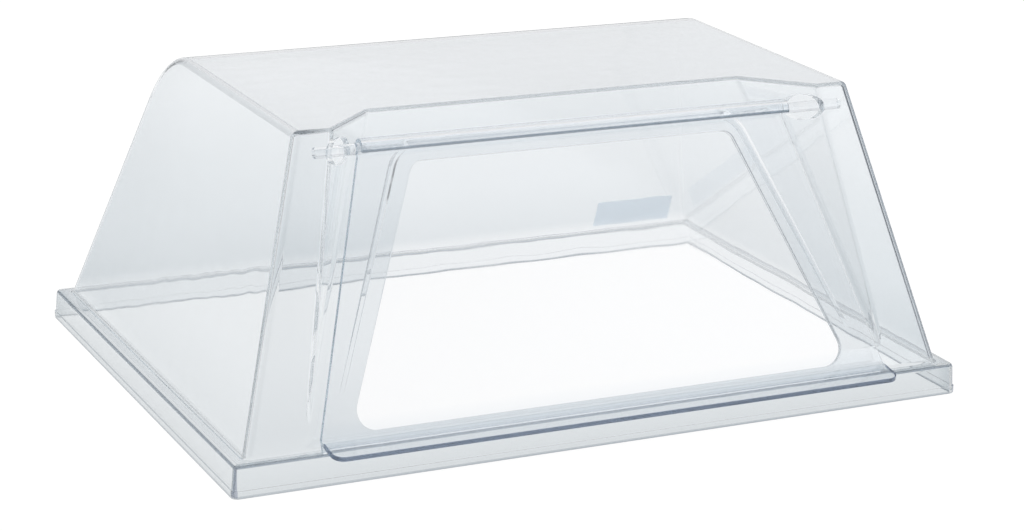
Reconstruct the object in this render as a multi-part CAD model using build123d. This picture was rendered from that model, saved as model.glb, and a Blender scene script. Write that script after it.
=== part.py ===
from build123d import *
import math
import os

# Clear food cover with a flip-up front flap.
# Origin at the centre of the rim that stands on the tray, +X to the right, +Y to the back, +Z up.

# Overall size of the cover, and the wall of its moulding
cover_width = 457.0
cover_depth = 330.0
cover_height = 183.0
wall = 2.5

# Skirt round the foot: a proud rim, a drafted band and the ledge on top of it
skirt_height = 18.6
skirt_draft = 1.6
skirt_corner = 4.0
skirt_edge = 2.8
skirt_inside = 0.6
rim_height = 4.5
rim_proud = 0.3
rim_edge = 0.6
ledge_side = 8.0
ledge_front = 6.4
ledge_fillet = 2.3
ledge_inside = 2.0

# Leaning walls: degrees from upright, and the rounding of their edges
side_lean = 15.5
front_lean = 15.7
rear_lean = 18.9
corner_radius = 5.0
rear_top_radius = 46.0

# Hinge: depth of the axis under the top, the loose rod, which has slid to the right, and its bushes
axis_drop = 14.0
rod_diameter = 6.35
rod_overhang = 14.6
rod_slide = 4.8
rod_chamfer = 0.5
rod_play = 0.1
bush_diameter = 15.0
bush_fit = 0.05

# Flap: panel with a rolled hook along its top, a finger lip and a foot that stands on the ledge.
# The hook goes over the rod and ends past its front, so that the mouth under it snaps on the rod.
flap_thickness = 2.4
flap_lean = 22.5
flap_eye_play = 0.1
hook_turn = 32.0
flap_top_inset = 17.0
flap_side_inset = 51.5
flap_foot_inset = 2.85
flap_gap = 3.1
flap_rest_gap = 0.3
lip_rise = 6.6
lip_reach = 20.0
lip_droop = 8.7
lip_corner = 7.0
lip_bend = 2.0

# Pocket for the hinge: floor under the axis, back behind it and splayed cheeks at its ends
pocket_floor_drop = 2.7
pocket_room = 27.7
pocket_back_lean = 24.0
cheek_inset = 77.5
cheek_forward = 4.5
pocket_splay = 43.0
pocket_draft = 4.0
pocket_corner = 4.0
pocket_valley = 6.0
pocket_brow = 5.0
pocket_edge = 2.8
pocket_inside = 0.6
cheek_edge = 5.5

# Opening behind the flap, with a stiffening rib of inverted U form on the inside
sill_rise = 6.4
head_drop = 8.7
sill_margin = 19.0
head_margin = 34.0
opening_sill_corner = 11.0
opening_head_corner = 8.0
opening_edge = 0.8
rib_distance = 9.8
rib_thickness = 2.5
rib_depth = 6.0
rib_rise = 17.0

# Blank sticker on the rear wall
label_width = 57.0
label_height = 19.0
label_thickness = 0.3
label_corner = 0.8
label_inset = 53.3
label_rise = 13.6

# Room past the part for cuts that go right through
cut_margin = 40.0

# Distance at which two places count as one
same_place = 0.01

# Heights that follow from the sizes above
axis_height = cover_height - axis_drop
pocket_floor = axis_height - pocket_floor_drop
opening_head = pocket_floor - head_drop
opening_sill = skirt_height + sill_rise
rib_foot = opening_sill + rib_rise
lip_height = skirt_height + lip_rise

# Widths and lengths along X
half_width = cover_width / 2
pocket_mouth_width = cover_width - 2 * cheek_inset
flap_top_width = pocket_mouth_width - 2 * flap_top_inset
flap_bottom_width = cover_width - 2 * flap_side_inset
opening_head_width = flap_top_width - 2 * head_margin
opening_sill_width = flap_bottom_width - 2 * sill_margin
rod_end = pocket_mouth_width / 2 + rod_overhang

# Places along Y: the flap's foot stands on the ledge, and its lean gives the hinge axis
half_depth = cover_depth / 2
lean = math.radians(flap_lean)
panel_rear = Vector(0, math.cos(lean), -math.sin(lean))
eye_bore = rod_diameter / 2 + flap_eye_play
eye_radius = eye_bore + flap_thickness
frame_offset = eye_radius + flap_gap
axis_rise = axis_height - skirt_height
axis_y = -half_depth + flap_foot_inset + (axis_rise * math.sin(lean) - eye_radius) / math.cos(lean)
axis_point = Vector(0, axis_y, axis_height)


def y_on_panel(height, offset):
    """Y of the plane that lies parallel to the flap, offset behind the hinge axis, at a height."""
    return axis_y + (offset + (height - axis_height) * math.sin(lean)) / math.cos(lean)


def rounded_slab(height, inset_low, inset_high, corner):
    """Drafted block from the rest plane up to a height, inset from the outline of the rim."""
    outline = RectangleRounded(cover_width - 2 * inset_low, cover_depth - 2 * inset_low, corner)
    draft = math.degrees(math.atan2(inset_high - inset_low, height))
    return extrude(outline, height, taper=draft)


def wall_plane(side, inset):
    """Plane of one leaning wall, which faces outwards, moved in from the wall's outer face."""
    foot_x = half_width - skirt_draft - ledge_side
    foot_y = half_depth - skirt_draft - ledge_front
    foot, lean_angle = {
        "left": (Vector(-foot_x, 0, 0), side_lean),
        "right": (Vector(foot_x, 0, 0), side_lean),
        "front": (Vector(0, -foot_y, 0), front_lean),
        "rear": (Vector(0, foot_y, 0), rear_lean),
    }[side]
    tilt = math.radians(lean_angle)
    outward = foot.normalized() * math.cos(tilt) + Vector(0, 0, math.sin(tilt))
    return Plane(foot + Vector(0, 0, skirt_height) - outward * inset, z_dir=outward)


def leaning_body(low, inset):
    """Solid inside the leaning walls, from a height to the top, with its edges rounded."""
    high = cover_height - inset
    block = Box(cover_width + cut_margin, cover_depth + cut_margin, high - low)
    body = Pos(0, 0, (low + high) / 2) * block
    for side in ("left", "right", "front", "rear"):
        body = split(body, bisect_by=wall_plane(side, inset), keep=Keep.BOTTOM)
    rear_edge = body.faces().sort_by(Axis.Z)[-1].edges().sort_by(Axis.Y)[-1]
    body = fillet(rear_edge, rear_top_radius - inset)
    side_faces = [body.faces().sort_by(Axis.X)[end] for end in (0, -1)]
    edges = [e for face in side_faces for e in face.edges() if e.center().Z > low + inset + wall]
    return fillet(edges, corner_radius - inset)


def lies_on(edge, plane):
    """True if an edge lies in a plane from end to end."""
    points = (edge @ 0, edge @ 0.5, edge @ 1)
    return all(abs((p - plane.origin).dot(plane.z_dir)) < same_place for p in points)


def cheek_plane(side, grow):
    """Plane of one splayed end of the pocket, which faces away from the pocket, moved out by a wall."""
    splay = math.radians(pocket_splay)
    draft = math.radians(pocket_draft)
    flat = Vector(side * math.sin(splay), math.cos(splay), 0)
    outward = flat * math.cos(draft) - Vector(0, 0, math.sin(draft))
    mouth = Vector(side * pocket_mouth_width / 2, axis_y - cheek_forward, cover_height)
    return Plane(mouth + outward * grow, z_dir=outward)


def hinge_recess(grow):
    """Room in front of the cover for the flap and its hinge, grown all round by a wall."""
    back_lean = math.radians(pocket_back_lean)
    floor = pocket_floor - grow
    top = cover_height + cut_margin

    def y_back(height):
        rise = height - cover_height
        return axis_y + pocket_room + rise * math.tan(back_lean) + grow / math.cos(back_lean)

    front = -half_depth - 2 * cut_margin
    brow = (y_on_panel(floor, frame_offset + grow), floor)
    valley = (y_back(floor), floor)
    outline = Polyline(
        (y_on_panel(skirt_height, frame_offset + grow), skirt_height),
        brow,
        valley,
        (y_back(top), top),
        (front, top),
        (front, skirt_height),
        close=True,
    )
    profile = make_face(outline.edges())
    profile = fillet(profile.vertices().sort_by_distance(brow)[0], pocket_brow - grow)
    profile = fillet(profile.vertices().sort_by_distance(valley)[0], pocket_valley + grow)
    recess = extrude(Plane.YZ * profile, half_width, both=True)
    for side in (-1, 1):
        cheek = cheek_plane(side, grow)
        recess = split(recess, bisect_by=cheek, keep=Keep.BOTTOM)
        cheek_face = recess.faces().sort_by_distance(cheek.origin)[0]
        back_edges = [e for e in cheek_face.edges() if e.center().Y > front + cut_margin
                      and e.center().Z < top - same_place]
        recess = fillet(back_edges, pocket_corner)
    return recess


def frame_plane(offset):
    """Plane of the recessed front, offset behind the hinge axis, with its origin at sill height."""
    origin = (0, y_on_panel(opening_sill, offset), opening_sill)
    return Plane(origin, x_dir=(1, 0, 0), z_dir=panel_rear * -1)


def opening_outline(grow):
    """Rounded trapezoid of the opening in the frame's plane, grown all round."""
    rise = (opening_head - opening_sill) / math.cos(lean)
    outline = Polyline(
        (-opening_sill_width / 2, 0),
        (opening_sill_width / 2, 0),
        (opening_head_width / 2, rise),
        (-opening_head_width / 2, rise),
        close=True,
    )
    shape = make_face(outline.edges())
    sill_corners = shape.vertices().sort_by(Axis.Y)[:2]
    shape = fillet(sill_corners, opening_sill_corner)
    head_corners = shape.vertices().sort_by(Axis.Y)[-2:]
    shape = fillet(head_corners, opening_head_corner)
    return offset(shape, grow) if grow else shape


def opening_rib():
    """Inverted U behind the frame that grows from nothing at its feet to full depth at the head."""
    band = opening_outline(rib_distance + rib_thickness / 2)
    band -= opening_outline(rib_distance - rib_thickness / 2)
    rib = extrude(frame_plane(frame_offset) * band, -(wall + 2 * rib_depth))
    rise = (opening_head - rib_foot) / math.cos(lean)
    tilt = math.degrees(math.atan2(rib_depth, rise))
    foot = Vector(0, y_on_panel(rib_foot, frame_offset + wall), rib_foot)
    crest = Plane(foot, x_dir=(1, 0, 0), z_dir=panel_rear).rotated((-tilt, 0, 0))
    rib = split(rib, bisect_by=crest, keep=Keep.BOTTOM)
    return split(rib, bisect_by=Plane.XY.offset(rib_foot), keep=Keep.TOP)


def along_x(radius, start, end):
    """Cylinder on the hinge axis between two X positions."""
    base = Plane(axis_point + Vector(start, 0, 0), z_dir=(1, 0, 0))
    return extrude(base * Circle(radius), end - start)


def cheek_disc(side, radius):
    """Slice of a cylinder on the hinge axis between the two faces of one cheek."""
    disc = along_x(radius, 0, side * half_width)
    disc = split(disc, bisect_by=cheek_plane(side, 0), keep=Keep.TOP)
    return split(disc, bisect_by=cheek_plane(side, wall), keep=Keep.BOTTOM)


def make_hood():
    shell = rounded_slab(rim_height, 0, 0, skirt_corner)
    band = rounded_slab(skirt_height, rim_proud, skirt_draft, skirt_corner)
    shell += fillet(band.faces().sort_by(Axis.Z)[-1].edges(), skirt_edge)
    shell += leaning_body(skirt_height - wall, 0)
    ledge = shell.faces().filter_by(lambda face: len(face.inner_wires()) > 0).sort_by(Axis.Z)[-1]
    shell = fillet(ledge.inner_wires()[0].edges(), ledge_fillet)
    shell -= hinge_recess(0)
    front = wall_plane("front", 0)
    cheeks = [cheek_plane(side, 0) for side in (-1, 1)]
    corners = [e for e in shell.edges() if lies_on(e, front) and any(lies_on(e, c) for c in cheeks)]
    shell = fillet(corners, cheek_edge)
    top = Plane.XY.offset(cover_height)
    pocket_back = axis_y + pocket_room + pocket_corner
    pocket_rim = [e for e in shell.edges() if lies_on(e, top) and e.center().Y < pocket_back]
    shell = fillet(pocket_rim, pocket_edge)
    foot = [e for e in shell.edges() if lies_on(e, Plane.XY)]
    shell = fillet(foot, rim_edge)

    room = leaning_body(-cut_margin / 2, wall) - hinge_recess(wall)
    ceiling = Plane.XY.offset(cover_height - wall)
    pocket_rim = [e for e in room.edges() if lies_on(e, ceiling) and e.center().Y < pocket_back + wall]
    room = fillet(pocket_rim, pocket_inside) - opening_rib()
    inner_corner = skirt_corner - wall
    skirt_room = rounded_slab(skirt_height - wall, rim_proud + wall, skirt_draft + wall, inner_corner)
    skirt_top = skirt_room.faces().sort_by(Axis.Z)[-1]
    shell -= room
    shell -= fillet(skirt_top.edges(), skirt_inside)
    under_ledge = skirt_height - wall
    underside = shell.faces().filter_by(lambda face: abs(face.center().Z - under_ledge) < same_place)[0]
    shell = fillet(underside.inner_wires()[0].edges(), ledge_inside)

    front_frame = frame_plane(frame_offset)
    shell -= extrude(front_frame * opening_outline(0), cut_margin / 2, both=True)
    mouth = [e for e in shell.edges() if (lies_on(e, front_frame) or lies_on(e, front))
             and max(abs((e @ end).X) for end in (0, 1)) < opening_sill_width / 2
             and e.center().Z < opening_head + same_place]
    shell = fillet(mouth, opening_edge)
    for side in (-1, 1):
        shell -= cheek_disc(side, bush_diameter / 2 + bush_fit)
    return shell


def make_flap():
    panel_foot = skirt_height + flap_rest_gap
    droop = math.radians(lip_droop)
    lip_root = Vector(0, y_on_panel(lip_height, eye_bore), lip_height)
    lip_out = Vector(0, -math.cos(droop), -math.sin(droop))
    lip_down = Vector(0, math.sin(droop), -math.cos(droop))
    lip_end = lip_root + lip_out * lip_reach
    lip_under = lip_root + lip_down * flap_thickness
    under_height = lip_under.Z - (lip_under.Y - y_on_panel(lip_under.Z, eye_bore)) * math.tan(droop)
    points = [
        axis_point + panel_rear * eye_bore,
        lip_root,
        lip_end,
        lip_end + lip_down * flap_thickness,
        Vector(0, y_on_panel(under_height, eye_bore), under_height),
        Vector(0, y_on_panel(panel_foot, eye_bore), panel_foot),
        Vector(0, y_on_panel(panel_foot, eye_radius), panel_foot),
        axis_point + panel_rear * eye_radius,
    ]
    outline = Polyline(*[(p.Y, p.Z) for p in points], close=True)
    profile = make_face(outline.edges())
    profile = fillet(profile.vertices().sort_by_distance((lip_root.Y, lip_root.Z))[0], lip_bend)
    centre = Pos(axis_point.Y, axis_point.Z)
    profile += centre * Circle(eye_radius)
    profile -= centre * Circle(eye_bore)
    panel_down = Vector(0, -math.sin(lean), -math.cos(lean))
    turn = math.radians(hook_turn)
    hook_end = panel_down * math.sin(turn) - panel_rear * math.cos(turn)
    reach = 2 * eye_radius
    mouth = [
        axis_point,
        axis_point + hook_end * reach,
        axis_point + panel_down * reach - panel_rear * reach,
        axis_point + panel_down * reach + panel_rear * eye_bore,
        axis_point + panel_rear * eye_bore,
    ]
    profile -= make_face(Polyline(*[(p.Y, p.Z) for p in mouth], close=True).edges())
    flap = extrude(Plane.YZ * profile, half_width, both=True)

    eye_foot = axis_height - eye_radius
    front_view = Polyline(
        (-flap_bottom_width / 2, 0),
        (flap_bottom_width / 2, 0),
        (flap_bottom_width / 2, lip_height),
        (flap_top_width / 2, eye_foot),
        (flap_top_width / 2, cover_height + cut_margin),
        (-flap_top_width / 2, cover_height + cut_margin),
        (-flap_top_width / 2, eye_foot),
        (-flap_bottom_width / 2, lip_height),
        close=True,
    )
    flap &= extrude(Plane.XZ * make_face(front_view.edges()), half_depth + cut_margin, both=True)
    lip_corners = [e for e in flap.edges().filter_by(GeomType.LINE)
                   if e.center().Y < lip_root.Y - lip_reach / 2
                   and abs(e.length - flap_thickness) < same_place]
    return fillet(lip_corners, lip_corner)


def make_bush(side):
    """Plug that fills the hole in one cheek, flush with both its faces, and carries the rod."""
    return cheek_disc(side, bush_diameter / 2) - along_x(rod_diameter / 2 + rod_play, 0, side * half_width)


def make_label():
    rear = wall_plane("rear", 0)
    up = Vector(0, -rear.z_dir.Z, rear.z_dir.Y)
    centre = rear.origin + up * (label_rise / up.Z) + Vector(half_width - label_inset, 0, 0)
    face = Plane(centre, x_dir=(-1, 0, 0), z_dir=rear.z_dir)
    return extrude(face * RectangleRounded(label_width, label_height, label_corner), label_thickness)


rod = along_x(rod_diameter / 2, rod_slide - rod_end, rod_slide + rod_end)
pieces = {
    "hood": make_hood(),
    "flap": make_flap(),
    "hinge_rod": chamfer(rod.edges().filter_by(GeomType.CIRCLE), rod_chamfer),
    "hinge_bush_left": make_bush(-1),
    "hinge_bush_right": make_bush(1),
    "label": make_label(),
}

os.makedirs("parts", exist_ok=True)
for name, piece in pieces.items():
    export_step(piece, f"parts/{name}.step")
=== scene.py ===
import math

import bpy
import numpy as np
from mathutils import Matrix, Vector


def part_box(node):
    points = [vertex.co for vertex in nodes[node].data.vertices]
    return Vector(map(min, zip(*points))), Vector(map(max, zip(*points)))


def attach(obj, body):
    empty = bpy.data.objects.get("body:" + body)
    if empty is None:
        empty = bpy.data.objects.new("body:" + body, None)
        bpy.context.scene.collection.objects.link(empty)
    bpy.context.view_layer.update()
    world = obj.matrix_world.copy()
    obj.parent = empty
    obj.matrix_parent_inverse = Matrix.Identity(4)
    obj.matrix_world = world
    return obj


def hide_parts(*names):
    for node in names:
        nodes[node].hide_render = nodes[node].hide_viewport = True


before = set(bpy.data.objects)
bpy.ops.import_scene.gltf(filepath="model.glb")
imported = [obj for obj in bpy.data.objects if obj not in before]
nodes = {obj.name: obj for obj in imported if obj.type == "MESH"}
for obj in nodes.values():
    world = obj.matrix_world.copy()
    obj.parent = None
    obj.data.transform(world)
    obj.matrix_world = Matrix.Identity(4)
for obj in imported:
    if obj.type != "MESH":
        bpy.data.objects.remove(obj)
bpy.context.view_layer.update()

scene = bpy.context.scene

# Viewpoint: a long lens in front of the cover, to its left and a little above its top.
# It looks down on the flap, so that the tray's place shows through the opening.
picture_width = 1024
focal_pixels = 2783.5
axis_right = 6.47
axis_down = 0.46
film_width = 36.0
camera_place = (-0.6950, -1.4574, 0.5624)
camera_turn = math.radians(-26.01)
camera_tilt = math.radians(72.61)
camera_roll = math.radians(1.61)

lens = bpy.data.cameras.new("viewpoint")
lens.sensor_width = film_width
lens.lens = focal_pixels * film_width / picture_width
lens.shift_x = -axis_right / picture_width
lens.shift_y = axis_down / picture_width
camera = bpy.data.objects.new("viewpoint", lens)
scene.collection.objects.link(camera)
camera.matrix_world = (
    Matrix.Translation(camera_place)
    @ Matrix.Rotation(camera_turn, 4, "Z")
    @ Matrix.Rotation(camera_tilt, 4, "X")
    @ Matrix.Rotation(camera_roll, 4, "Z")
)
scene.camera = camera

# Hood: one clear polycarbonate moulding with a skirt, leaning walls and a pocket for the hinge.
# The sheet is drawn over a former from the skirt up. Its pale tint darkens towards the skirt: painted shade of the
# shadowed floor under the cover.
# Light in the sheet takes on a cool blue grey, its edges, folds and foot have painted shade, and its faces have the
# faint waves of a drawn sheet.
plastic_index = 1.58
edge_tint = (0.80, 0.86, 0.90)
wave_scale = 60.0
wave_height = 0.00008
smear_scale = 18.0
smear_detail = 6.0
smear_range = (0.35, 0.75)
smear_spread = 0.04


def clear_plastic(name, polish, index, density):
    """Clear moulded plastic. The surface is polish rough, with cloudy smears that are a little rougher, and it
    waves by wave_height on the side where light enters. Light takes on edge_tint along its way in the sheet."""
    material = bpy.data.materials.new(name)
    material.use_nodes = True
    tree = material.node_tree
    shader = tree.nodes["Principled BSDF"]
    shader.inputs["Transmission Weight"].default_value = 1.0
    shader.inputs["IOR"].default_value = index
    place = tree.nodes.new("ShaderNodeTexCoord")

    smear = tree.nodes.new("ShaderNodeTexNoise")
    smear.inputs["Scale"].default_value = smear_scale
    smear.inputs["Detail"].default_value = smear_detail
    tree.links.new(place.outputs["Object"], smear.inputs["Vector"])
    gloss = tree.nodes.new("ShaderNodeMapRange")
    gloss.inputs["From Min"].default_value, gloss.inputs["From Max"].default_value = smear_range
    gloss.inputs["To Min"].default_value = polish
    gloss.inputs["To Max"].default_value = polish + smear_spread
    tree.links.new(smear.outputs["Fac"], gloss.inputs["Value"])
    tree.links.new(gloss.outputs["Result"], shader.inputs["Roughness"])

    wave = tree.nodes.new("ShaderNodeTexNoise")
    wave.inputs["Scale"].default_value = wave_scale
    wave.inputs["Detail"].default_value = 0.0
    tree.links.new(place.outputs["Object"], wave.inputs["Vector"])
    side = tree.nodes.new("ShaderNodeNewGeometry")
    bump = tree.nodes.new("ShaderNodeBump")
    bump.inputs["Distance"].default_value = wave_height
    entering = worked_out(tree, "SUBTRACT", 1.0, side.outputs["Backfacing"])
    tree.links.new(entering, bump.inputs["Strength"])
    tree.links.new(wave.outputs["Fac"], bump.inputs["Height"])
    tree.links.new(bump.outputs["Normal"], shader.inputs["Normal"])

    depth = tree.nodes.new("ShaderNodeVolumeAbsorption")
    depth.inputs["Color"].default_value = (*edge_tint, 1)
    depth.inputs["Density"].default_value = density
    tree.links.new(depth.outputs["Volume"], tree.nodes["Material Output"].inputs["Volume"])
    return material


def worked_out(tree, operation, *values):
    """Socket with the result of one piece of arithmetic on values, each a number or a socket."""
    node = tree.nodes.new("ShaderNodeMath")
    node.operation = operation
    for entry, value in zip(node.inputs, values):
        if isinstance(value, float):
            entry.default_value = value
        else:
            tree.links.new(value, entry)
    return node.outputs[0]


def all_of(tree, first, *others):
    """Share where all the given shares hold: their product."""
    for other in others:
        first = worked_out(tree, "MULTIPLY", first, other)
    return first


def between(tree, value, start, stop):
    """Smooth share of a value on its way from start, 0, to stop, 1."""
    share = tree.nodes.new("ShaderNodeMapRange")
    share.interpolation_type = "SMOOTHSTEP"
    share.inputs["From Min"].default_value = start
    share.inputs["From Max"].default_value = stop
    tree.links.new(value, share.inputs["Value"])
    return share.outputs["Result"]


def tint_by_height(material, low, high, tints):
    """Colours a plastic by the share of the height from low to high, in straight steps between the tints."""
    tree = material.node_tree
    place = tree.nodes["Texture Coordinate"]
    parts = tree.nodes.new("ShaderNodeSeparateXYZ")
    tree.links.new(place.outputs["Object"], parts.inputs[0])
    rise = tree.nodes.new("ShaderNodeMapRange")
    rise.inputs["From Min"].default_value = low
    rise.inputs["From Max"].default_value = high
    tree.links.new(parts.outputs["Z"], rise.inputs["Value"])
    ramp = tree.nodes.new("ShaderNodeValToRGB")
    stops = ramp.color_ramp.elements
    stops[0].color = (*tints[0][1], 1)
    stops[1].color = (*tints[-1][1], 1)
    for position, tint in tints[1:-1]:
        stops.new(position).color = (*tint, 1)
    tree.links.new(rise.outputs["Result"], ramp.inputs["Fac"])
    tree.links.new(ramp.outputs["Color"], tree.nodes["Principled BSDF"].inputs["Base Color"])


def lay_over(material, share, tint):
    """Lays a tint over the colour of a plastic, by a share from 0 to 1."""
    tree = material.node_tree
    colour = tree.nodes["Principled BSDF"].inputs["Base Color"]
    over = tree.nodes.new("ShaderNodeMix")
    over.data_type = "RGBA"
    over.inputs["B"].default_value = (*tint, 1)
    tree.links.new(share, over.inputs["Factor"])
    tree.links.new(colour.links[0].from_socket, over.inputs["A"])
    tree.links.new(over.outputs["Result"], colour)


def by_outline(tree, half_width, middle, half_depth, corner):
    """How near to the outline of a rectangle with round corners, which lies about x = 0 and y = middle. Gives the
    way from the line of the corners' middles, which is corner on the outline, and its lesser part of x and y,
    which is above 0 in the corners alone."""
    parts = tree.nodes["Separate XYZ"]
    side = worked_out(tree, "ABSOLUTE", parts.outputs["X"])
    depth = worked_out(tree, "ABSOLUTE", worked_out(tree, "SUBTRACT", parts.outputs["Y"], middle))
    across = worked_out(tree, "MAXIMUM", worked_out(tree, "SUBTRACT", side, half_width - corner), 0.0)
    along = worked_out(tree, "MAXIMUM", worked_out(tree, "SUBTRACT", depth, half_depth - corner), 0.0)
    squares = worked_out(tree, "ADD", worked_out(tree, "POWER", across, 2.0), worked_out(tree, "POWER", along, 2.0))
    return worked_out(tree, "SQRT", squares), worked_out(tree, "MINIMUM", across, along)


def finish_node(name, material):
    """Gives every material slot of a node the same finish."""
    for slot in nodes[name].material_slots:
        slot.material = material


hood_polish = 0.01
hood_density = 1.6
hood_low, hood_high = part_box("hood")
# Painted shade: the hood's own pale tint is darkened towards the skirt, for the shadowed floor under the cover.
hood_tints_with_painted_shade = ((0.0, (0.680, 0.715, 0.735)), (0.12, (0.745, 0.780, 0.803)), (0.35, (0.820, 0.850, 0.870)),
              (0.6, (0.855, 0.880, 0.897)), (0.8, (0.900, 0.920, 0.935)), (1.0, (0.930, 0.946, 0.958)))
hood_plastic = clear_plastic("hood_plastic", hood_polish, plastic_index, hood_density)
tint_by_height(hood_plastic, hood_low.z, hood_high.z, hood_tints_with_painted_shade)
tree = hood_plastic.node_tree
x, y, z = tree.nodes["Separate XYZ"].outputs

# Painted shade: the left wall above the ledge is greyed a little, for the shadowed floor inside the cover near that
# wall.
left_wall_x = (-0.14, -0.19)
up_the_ledge = (0.019, 0.03)
left_wall_shade_share = 0.15
left_wall_painted_shade = (0.56, 0.60, 0.63)
left_wall_shade = all_of(tree, between(tree, x, *left_wall_x), between(tree, z, *up_the_ledge), left_wall_shade_share)
lay_over(hood_plastic, left_wall_shade, left_wall_painted_shade)

# Painted light: the skirt at the rear and on the right is lifted lighter, out of the painted shade that darkens the
# low hood.
rear_skirt_y = (0.05, 0.15)
past_left_skirt_x = (-0.225, -0.210)
right_skirt_x = (0.05, 0.2)
past_front_skirt_y = (-0.160, -0.145)
down_the_ledge = (0.03, 0.019)
far_skirt_painted_light = (0.86, 0.88, 0.895)
rear_skirt = all_of(tree, between(tree, y, *rear_skirt_y), between(tree, x, *past_left_skirt_x))
far_skirt_light = worked_out(tree, "MAXIMUM", rear_skirt, between(tree, x, *right_skirt_x))
far_skirt_light = all_of(tree, far_skirt_light, between(tree, y, *past_front_skirt_y), between(tree, z, *down_the_ledge))
lay_over(hood_plastic, far_skirt_light, far_skirt_painted_light)

# Painted shade: a dark blue grey line along the round top edge of the skirt, and a blue grey in its two front
# corners.
skirt_corner = 0.004
skirt_inset = 0.0004
skirt_edge_width = 0.0021
skirt_edge_z = 0.0166
skirt_edge_painted_shade = (0.20, 0.24, 0.29)
skirt_fold_start = 0.0016
skirt_fold_painted_shade = (0.26, 0.29, 0.37)
way, nook = by_outline(tree, hood_high.x - skirt_inset, 0.0, hood_high.y - skirt_inset, skirt_corner)
skirt_edge_shade = all_of(tree, worked_out(tree, "GREATER_THAN", way, skirt_corner - skirt_edge_width),
                    worked_out(tree, "GREATER_THAN", z, skirt_edge_z))
lay_over(hood_plastic, skirt_edge_shade, skirt_edge_painted_shade)
# Painted shade in the two front corners of the skirt.
skirt_fold_shade = all_of(tree, worked_out(tree, "GREATER_THAN", nook, skirt_fold_start),
                    worked_out(tree, "LESS_THAN", y, 0.0))
lay_over(hood_plastic, skirt_fold_shade, skirt_fold_painted_shade)

# Painted shade: a grey line along the foot of the skirt, where it stands on the table.
rim_line_z = 0.0010
rim_line_painted_shade = (0.42, 0.46, 0.50)
lay_over(hood_plastic, worked_out(tree, "LESS_THAN", z, rim_line_z), rim_line_painted_shade)

# Painted shade: a blue grey along the upright front right corner of the leaning walls, above the skirt.
wall_foot_x, wall_foot_y = 0.2241, 0.1622
side_slope = math.tan(math.radians(15.5))
front_slope = math.tan(math.radians(15.7))
wall_bend = 0.005
wall_fold_start = 0.0008
wall_fold_z = 0.021
wall_fold_painted_shade = (0.46, 0.50, 0.55)
side_x = worked_out(tree, "ADD", x, worked_out(tree, "MULTIPLY", z, side_slope))
front_y = worked_out(tree, "SUBTRACT", worked_out(tree, "MULTIPLY", z, front_slope), y)
across = worked_out(tree, "SUBTRACT", side_x, wall_foot_x - wall_bend)
along = worked_out(tree, "SUBTRACT", front_y, wall_foot_y - wall_bend)
wall_fold_shade = worked_out(tree, "GREATER_THAN", worked_out(tree, "MINIMUM", across, along), wall_fold_start)
wall_fold_shade = all_of(tree, wall_fold_shade, worked_out(tree, "GREATER_THAN", z, wall_fold_z))
lay_over(hood_plastic, wall_fold_shade, wall_fold_painted_shade)

# Painted shade: near black on the front top edge, at the left end of the brow over the hinge pocket.
brow_z = 0.1816
brow_y = -0.1076
brow_x = (-0.150, -0.168)
brow_painted_shade = (0.16, 0.18, 0.20)
brow_shade = all_of(tree, worked_out(tree, "GREATER_THAN", z, brow_z), worked_out(tree, "LESS_THAN", y, brow_y),
              between(tree, x, *brow_x))
lay_over(hood_plastic, brow_shade, brow_painted_shade)
finish_node("hood", hood_plastic)

# Flap: a clear plastic door, thinner and clearer than the hood, with its top rolled into an open hook.
# The hook snaps over the rod, the foot rests on the ledge of the skirt, and the lip is what a hand lifts.
# The cut edges of the lip and of the hook have painted shade, a dark blue grey.
flap_polish = 0.01
flap_density = 4.2
flap_low, flap_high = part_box("flap")
# Darker towards the foot; the grey over the hook is painted shade that dims its highlight.
flap_tints_with_painted_shade = ((0.0, (0.87, 0.90, 0.93)), (0.10, (0.985, 0.99, 0.997)), (0.925, (0.985, 0.99, 0.997)),
              (0.935, (0.94, 0.955, 0.97)), (1.0, (0.94, 0.955, 0.97)))
lip_corner = 0.007
lip_length = 0.017
lip_cut = 0.0007
lip_painted_shade = (0.08, 0.11, 0.18)
far_back = 1.0
hook_drop = 0.0007
hook_cut = 0.0010
hook_painted_shade = (0.36, 0.41, 0.46)


def paint_lip_shade(material, half_width, front):
    """Paints shade, a dark blue grey, on the cut edge of the lip, up to lip_length behind its front."""
    tree = material.node_tree
    way = by_outline(tree, half_width, front + far_back, far_back, lip_corner)[0]
    cut = worked_out(tree, "GREATER_THAN", way, lip_corner - lip_cut)
    lip = worked_out(tree, "LESS_THAN", tree.nodes["Separate XYZ"].outputs["Y"], front + lip_length)
    lay_over(material, all_of(tree, cut, lip), lip_painted_shade)


def paint_hook_shade(material, axis):
    """Paints shade, a blue grey, on the cut edge of the hook: all in front of the axis within hook_cut of the height
    where the hook ends.
    """
    tree = material.node_tree
    parts = tree.nodes["Separate XYZ"]
    above = worked_out(tree, "SUBTRACT", parts.outputs["Z"], axis.z - hook_drop)
    cut = worked_out(tree, "LESS_THAN", worked_out(tree, "ABSOLUTE", above), hook_cut)
    ahead = worked_out(tree, "LESS_THAN", parts.outputs["Y"], axis.y)
    lay_over(material, all_of(tree, cut, ahead), hook_painted_shade)


rod_low, rod_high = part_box("hinge_rod")
flap_plastic = clear_plastic("flap_plastic", flap_polish, plastic_index, flap_density)
tint_by_height(flap_plastic, flap_low.z, flap_high.z, flap_tints_with_painted_shade)
paint_lip_shade(flap_plastic, flap_high.x, flap_low.y)
paint_hook_shade(flap_plastic, (rod_low + rod_high) / 2)
finish_node("flap", flap_plastic)

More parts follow.
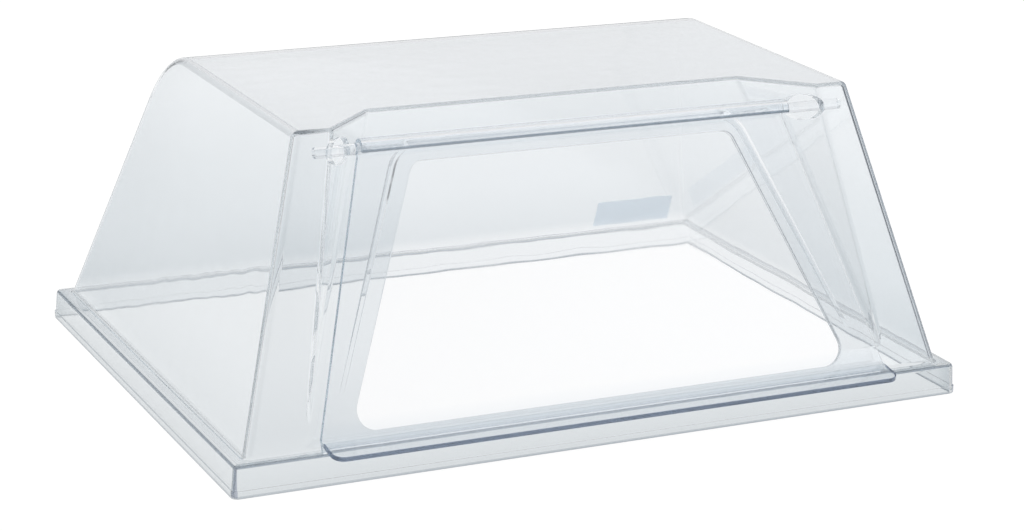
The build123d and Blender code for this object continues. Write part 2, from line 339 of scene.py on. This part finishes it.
# Hinge rod: a drawn clear plastic rod, cut to length with its ends broken.
# It lies in the bushes and in the hook of the flap, and has slid a little to the right.
rod_index = 1.25
rod_polish = 0.02
rod_density = 3.0
rod_tint = (0.965, 0.972, 0.98)
rod_plastic = clear_plastic("rod_plastic", rod_polish, rod_index, rod_density)
rod_plastic.node_tree.nodes["Principled BSDF"].inputs["Base Color"].default_value = (*rod_tint, 1)
finish_node("hinge_rod", rod_plastic)

# Hinge bushes: two clear plugs of a softer, slippery plastic, pressed into the holes of the cheeks.
# They are flush with both faces of the cheek, and the rod turns in them.
bush_index = 1.08
bush_polish = 0.02
bush_density = 2.0
bush_tint = (0.97, 0.976, 0.982)
bush_plastic = clear_plastic("bush_plastic", bush_polish, bush_index, bush_density)
bush_plastic.node_tree.nodes["Principled BSDF"].inputs["Base Color"].default_value = (*bush_tint, 1)
for name in ("hinge_bush_left", "hinge_bush_right"):
    finish_node(name, bush_plastic)

# Label: a blank sticker of frosted film with its corners just broken, pressed on the outside of the rear wall.
# It is seen through the wall from the front, where the glue lets it stand a hair off the plastic.
rear_lean = math.radians(18.9)
label_corner = 0.0008
label_columns, label_rows = 61, 33
film_thickness = 0.00015
glue_gap = 0.00006
film_sag = 0.00002
sag_across, sag_up, sag_start = 5.0, 2.0, 1.0
film_index = 1.1
film_clarity = 0.9
film_colour = (0.86, 0.92, 0.975)
cloud_shade = 0.96
cloud_scale = 120.0
fibre_scale = 2500.0
fibre_detail = 4.0
film_roughness = (0.6, 0.9)
grain_height = 0.00003

label_low, label_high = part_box("label")
out = Vector((0, math.cos(rear_lean), math.sin(rear_lean)))
up = Vector((0, -math.sin(rear_lean), math.cos(rear_lean)))
label_width = label_high.x - label_low.x
spread = label_high - label_low
label_thickness = (spread.y * math.cos(rear_lean) - spread.z * math.sin(rear_lean)) / math.cos(2 * rear_lean)
label_height = (spread.z - label_thickness * math.sin(rear_lean)) / math.cos(rear_lean)
label_centre = (label_low + label_high) / 2 + out * (glue_gap - label_thickness / 2)


def label_sheet(columns, rows):
    """Sheet over u and v from -1 to 1: height is v times half the label, width is u times the half width that
    the round corners leave at that height, and the sheet swells off the wall by a low wave in u and v."""
    u = np.linspace(-1, 1, columns)[None, :]
    v = np.sin(np.linspace(-1, 1, rows) * math.pi / 2)[:, None]
    rise = v * label_height / 2
    past_corner = np.maximum(np.abs(rise) - (label_height / 2 - label_corner), 0)
    half = label_width / 2 - label_corner + np.sqrt(np.maximum(label_corner**2 - past_corner**2, 0))
    across = u * half
    lift = film_sag * (1 + np.sin(sag_across * u + sag_start) * np.cos(sag_up * v))
    return (np.array(label_centre) + across[..., None] * np.array((1.0, 0, 0))
            + (rise + 0 * u)[..., None] * np.array(up) + lift[..., None] * np.array(out))


def grid_faces(rows, columns):
    """Quads between neighbouring rows and columns of a grid of points."""
    first = (np.arange(rows - 1)[:, None] * columns + np.arange(columns - 1)[None, :]).ravel()
    return np.stack((first, first + columns, first + columns + 1, first + 1), axis=1)


label_points = label_sheet(label_columns, label_rows)
label_mesh = bpy.data.meshes.new("blank_label")
label_mesh.from_pydata(label_points.reshape(-1, 3).tolist(), [], grid_faces(label_rows, label_columns).tolist())
label = bpy.data.objects.new("blank_label", label_mesh)
scene.collection.objects.link(label)
thicken = label.modifiers.new("thickness", "SOLIDIFY")
thicken.thickness = film_thickness
thicken.offset = 1.0

film = bpy.data.materials.new("label_film")
film.use_nodes = True
tree = film.node_tree
matt = tree.nodes["Principled BSDF"]
matt.inputs["Transmission Weight"].default_value = film_clarity
matt.inputs["IOR"].default_value = film_index
place = tree.nodes.new("ShaderNodeTexCoord")
fibre = tree.nodes.new("ShaderNodeTexNoise")
fibre.inputs["Scale"].default_value = fibre_scale
fibre.inputs["Detail"].default_value = fibre_detail
tree.links.new(place.outputs["Object"], fibre.inputs["Vector"])
cloud = tree.nodes.new("ShaderNodeTexNoise")
cloud.inputs["Scale"].default_value = cloud_scale
tree.links.new(place.outputs["Object"], cloud.inputs["Vector"])
shade = tree.nodes.new("ShaderNodeMix")
shade.data_type = "RGBA"
shade.inputs["A"].default_value = (*(cloud_shade * part for part in film_colour), 1)
shade.inputs["B"].default_value = (*film_colour, 1)
tree.links.new(cloud.outputs["Fac"], shade.inputs["Factor"])
tree.links.new(shade.outputs["Result"], matt.inputs["Base Color"])
dry = tree.nodes.new("ShaderNodeMapRange")
dry.inputs["To Min"].default_value, dry.inputs["To Max"].default_value = film_roughness
tree.links.new(fibre.outputs["Fac"], dry.inputs["Value"])
tree.links.new(dry.outputs["Result"], matt.inputs["Roughness"])
grain = tree.nodes.new("ShaderNodeBump")
grain.inputs["Distance"].default_value = grain_height
tree.links.new(fibre.outputs["Fac"], grain.inputs["Height"])
tree.links.new(grain.outputs["Normal"], matt.inputs["Normal"])
label_mesh.materials.append(film)
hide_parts("label")
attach(label, "cover")

# Stage: a plain white table top, which keeps the faint shadow of the clear cover.
# Seen by the camera or through the plastic it glows white, as a table does that is lit from below.
# Mirrored in the plastic it glows by half, and it is dark where the light ends, to the right of the cover.
floor_reach = 6.0
floor_white = (0.9, 0.9, 0.9)
floor_dark = (0.08, 0.09, 0.11)
floor_roughness = 0.9
floor_glow = 0.93
glow_strength = 1.05
mirrored_glow = 0.5
light_end_x = (0.24, 0.30)

floor_corners = np.array([(-1, -1, 0), (1, -1, 0), (1, 1, 0), (-1, 1, 0)]) * floor_reach
floor_mesh = bpy.data.meshes.new("floor")
floor_mesh.from_pydata(floor_corners.tolist(), [], [(0, 1, 2, 3)])
floor = bpy.data.objects.new("floor", floor_mesh)
scene.collection.objects.link(floor)
table_top = bpy.data.materials.new("floor_white")
table_top.use_nodes = True
tree = table_top.node_tree
matt = tree.nodes["Principled BSDF"]
matt.inputs["Roughness"].default_value = floor_roughness
glow = tree.nodes.new("ShaderNodeEmission")
glow.inputs["Strength"].default_value = glow_strength
path = tree.nodes.new("ShaderNodeLightPath")
place = tree.nodes.new("ShaderNodeTexCoord")
parts = tree.nodes.new("ShaderNodeSeparateXYZ")
tree.links.new(place.outputs["Object"], parts.inputs[0])
mirrored = path.outputs["Is Glossy Ray"]
unlit = all_of(tree, mirrored, between(tree, parts.outputs["X"], *light_end_x))
half_lit = worked_out(tree, "MULTIPLY", worked_out(tree, "SUBTRACT", mirrored, unlit), mirrored_glow)
seen = worked_out(tree, "MAXIMUM", path.outputs["Is Camera Ray"], path.outputs["Is Transmission Ray"])
lit = worked_out(tree, "MULTIPLY", worked_out(tree, "MAXIMUM", half_lit, seen), floor_glow)
shade = tree.nodes.new("ShaderNodeMix")
shade.data_type = "RGBA"
shade.inputs["A"].default_value = (*floor_white, 1)
shade.inputs["B"].default_value = (*floor_dark, 1)
tree.links.new(unlit, shade.inputs["Factor"])
tree.links.new(shade.outputs["Result"], matt.inputs["Base Color"])
mix = tree.nodes.new("ShaderNodeMixShader")
tree.links.new(lit, mix.inputs[0])
tree.links.new(matt.outputs[0], mix.inputs[1])
tree.links.new(glow.outputs[0], mix.inputs[2])
tree.links.new(mix.outputs[0], tree.nodes["Material Output"].inputs["Surface"])
floor_mesh.materials.append(table_top)

# Light: an even white room lights the cover from all sides, as a soft tent does.
# What the plastic mirrors or bends of the room also has the dark cards that draw the edges of clear things, and
# two bright ones. Each is a direction, the degrees where it starts to fade and where it ends, and its colour.
room_cards = (
    ((-0.43, -0.87, 0.25), 25, 58, (0.12, 0.14, 0.17)),
    ((0.30, 0.93, 0.20), 20, 50, (0.80, 0.80, 0.81)),
    ((-0.49, 0.87, 0.0), 15, 40, (0.30, 0.31, 0.32)),
    ((0.93, 0.30, 0.2), 22, 40, (0.10, 0.12, 0.15)),
    ((0.60, -0.80, 0.05), 7, 15, (1.8, 1.8, 1.8)),
    ((-0.85, -0.40, 0.07), 8, 18, (1.8, 1.8, 1.8)),
)
room_white = (1, 1, 1, 1)
bounces = 1024

world = bpy.data.worlds.new("room")
scene.world = world
world.use_nodes = True
tree = world.node_tree
even_room = tree.nodes["Background"]
even_room.inputs["Color"].default_value = room_white
even_room.inputs["Strength"].default_value = 1.0
carded_room = tree.nodes.new("ShaderNodeBackground")
direction = tree.nodes.new("ShaderNodeTexCoord")


def soft_card(tree, direction, towards, inner, outer):
    """Share from 0 to 1 of a round card in the room: 1 within inner degrees of a direction, 0 past outer."""
    angle = tree.nodes.new("ShaderNodeVectorMath")
    angle.operation = "DOT_PRODUCT"
    angle.inputs[1].default_value = Vector(towards).normalized()
    tree.links.new(direction, angle.inputs[0])
    return between(tree, angle.outputs["Value"], math.cos(math.radians(outer)), math.cos(math.radians(inner)))


room = None
for towards, inner, outer, colour in room_cards:
    card = tree.nodes.new("ShaderNodeMix")
    card.data_type = "RGBA"
    card.inputs["A"].default_value = room_white
    card.inputs["B"].default_value = (*colour, 1)
    tree.links.new(soft_card(tree, direction.outputs["Generated"], towards, inner, outer), card.inputs["Factor"])
    if room:
        tree.links.new(room, card.inputs["A"])
    room = card.outputs["Result"]
tree.links.new(room, carded_room.inputs["Color"])
path = tree.nodes.new("ShaderNodeLightPath")
by_plastic = worked_out(tree, "MAXIMUM", path.outputs["Is Glossy Ray"], path.outputs["Is Transmission Ray"])
choice = tree.nodes.new("ShaderNodeMixShader")
tree.links.new(by_plastic, choice.inputs[0])
tree.links.new(even_room.outputs[0], choice.inputs[1])
tree.links.new(carded_room.outputs[0], choice.inputs[2])
tree.links.new(choice.outputs[0], tree.nodes["World Output"].inputs["Surface"])

# Light runs along inside the sheet for about a hundred bounces a wall, so that many are needed.
scene.cycles.max_bounces = bounces
scene.cycles.transmission_bounces = bounces
scene.cycles.glossy_bounces = bounces
scene.view_settings.view_transform = "Standard"
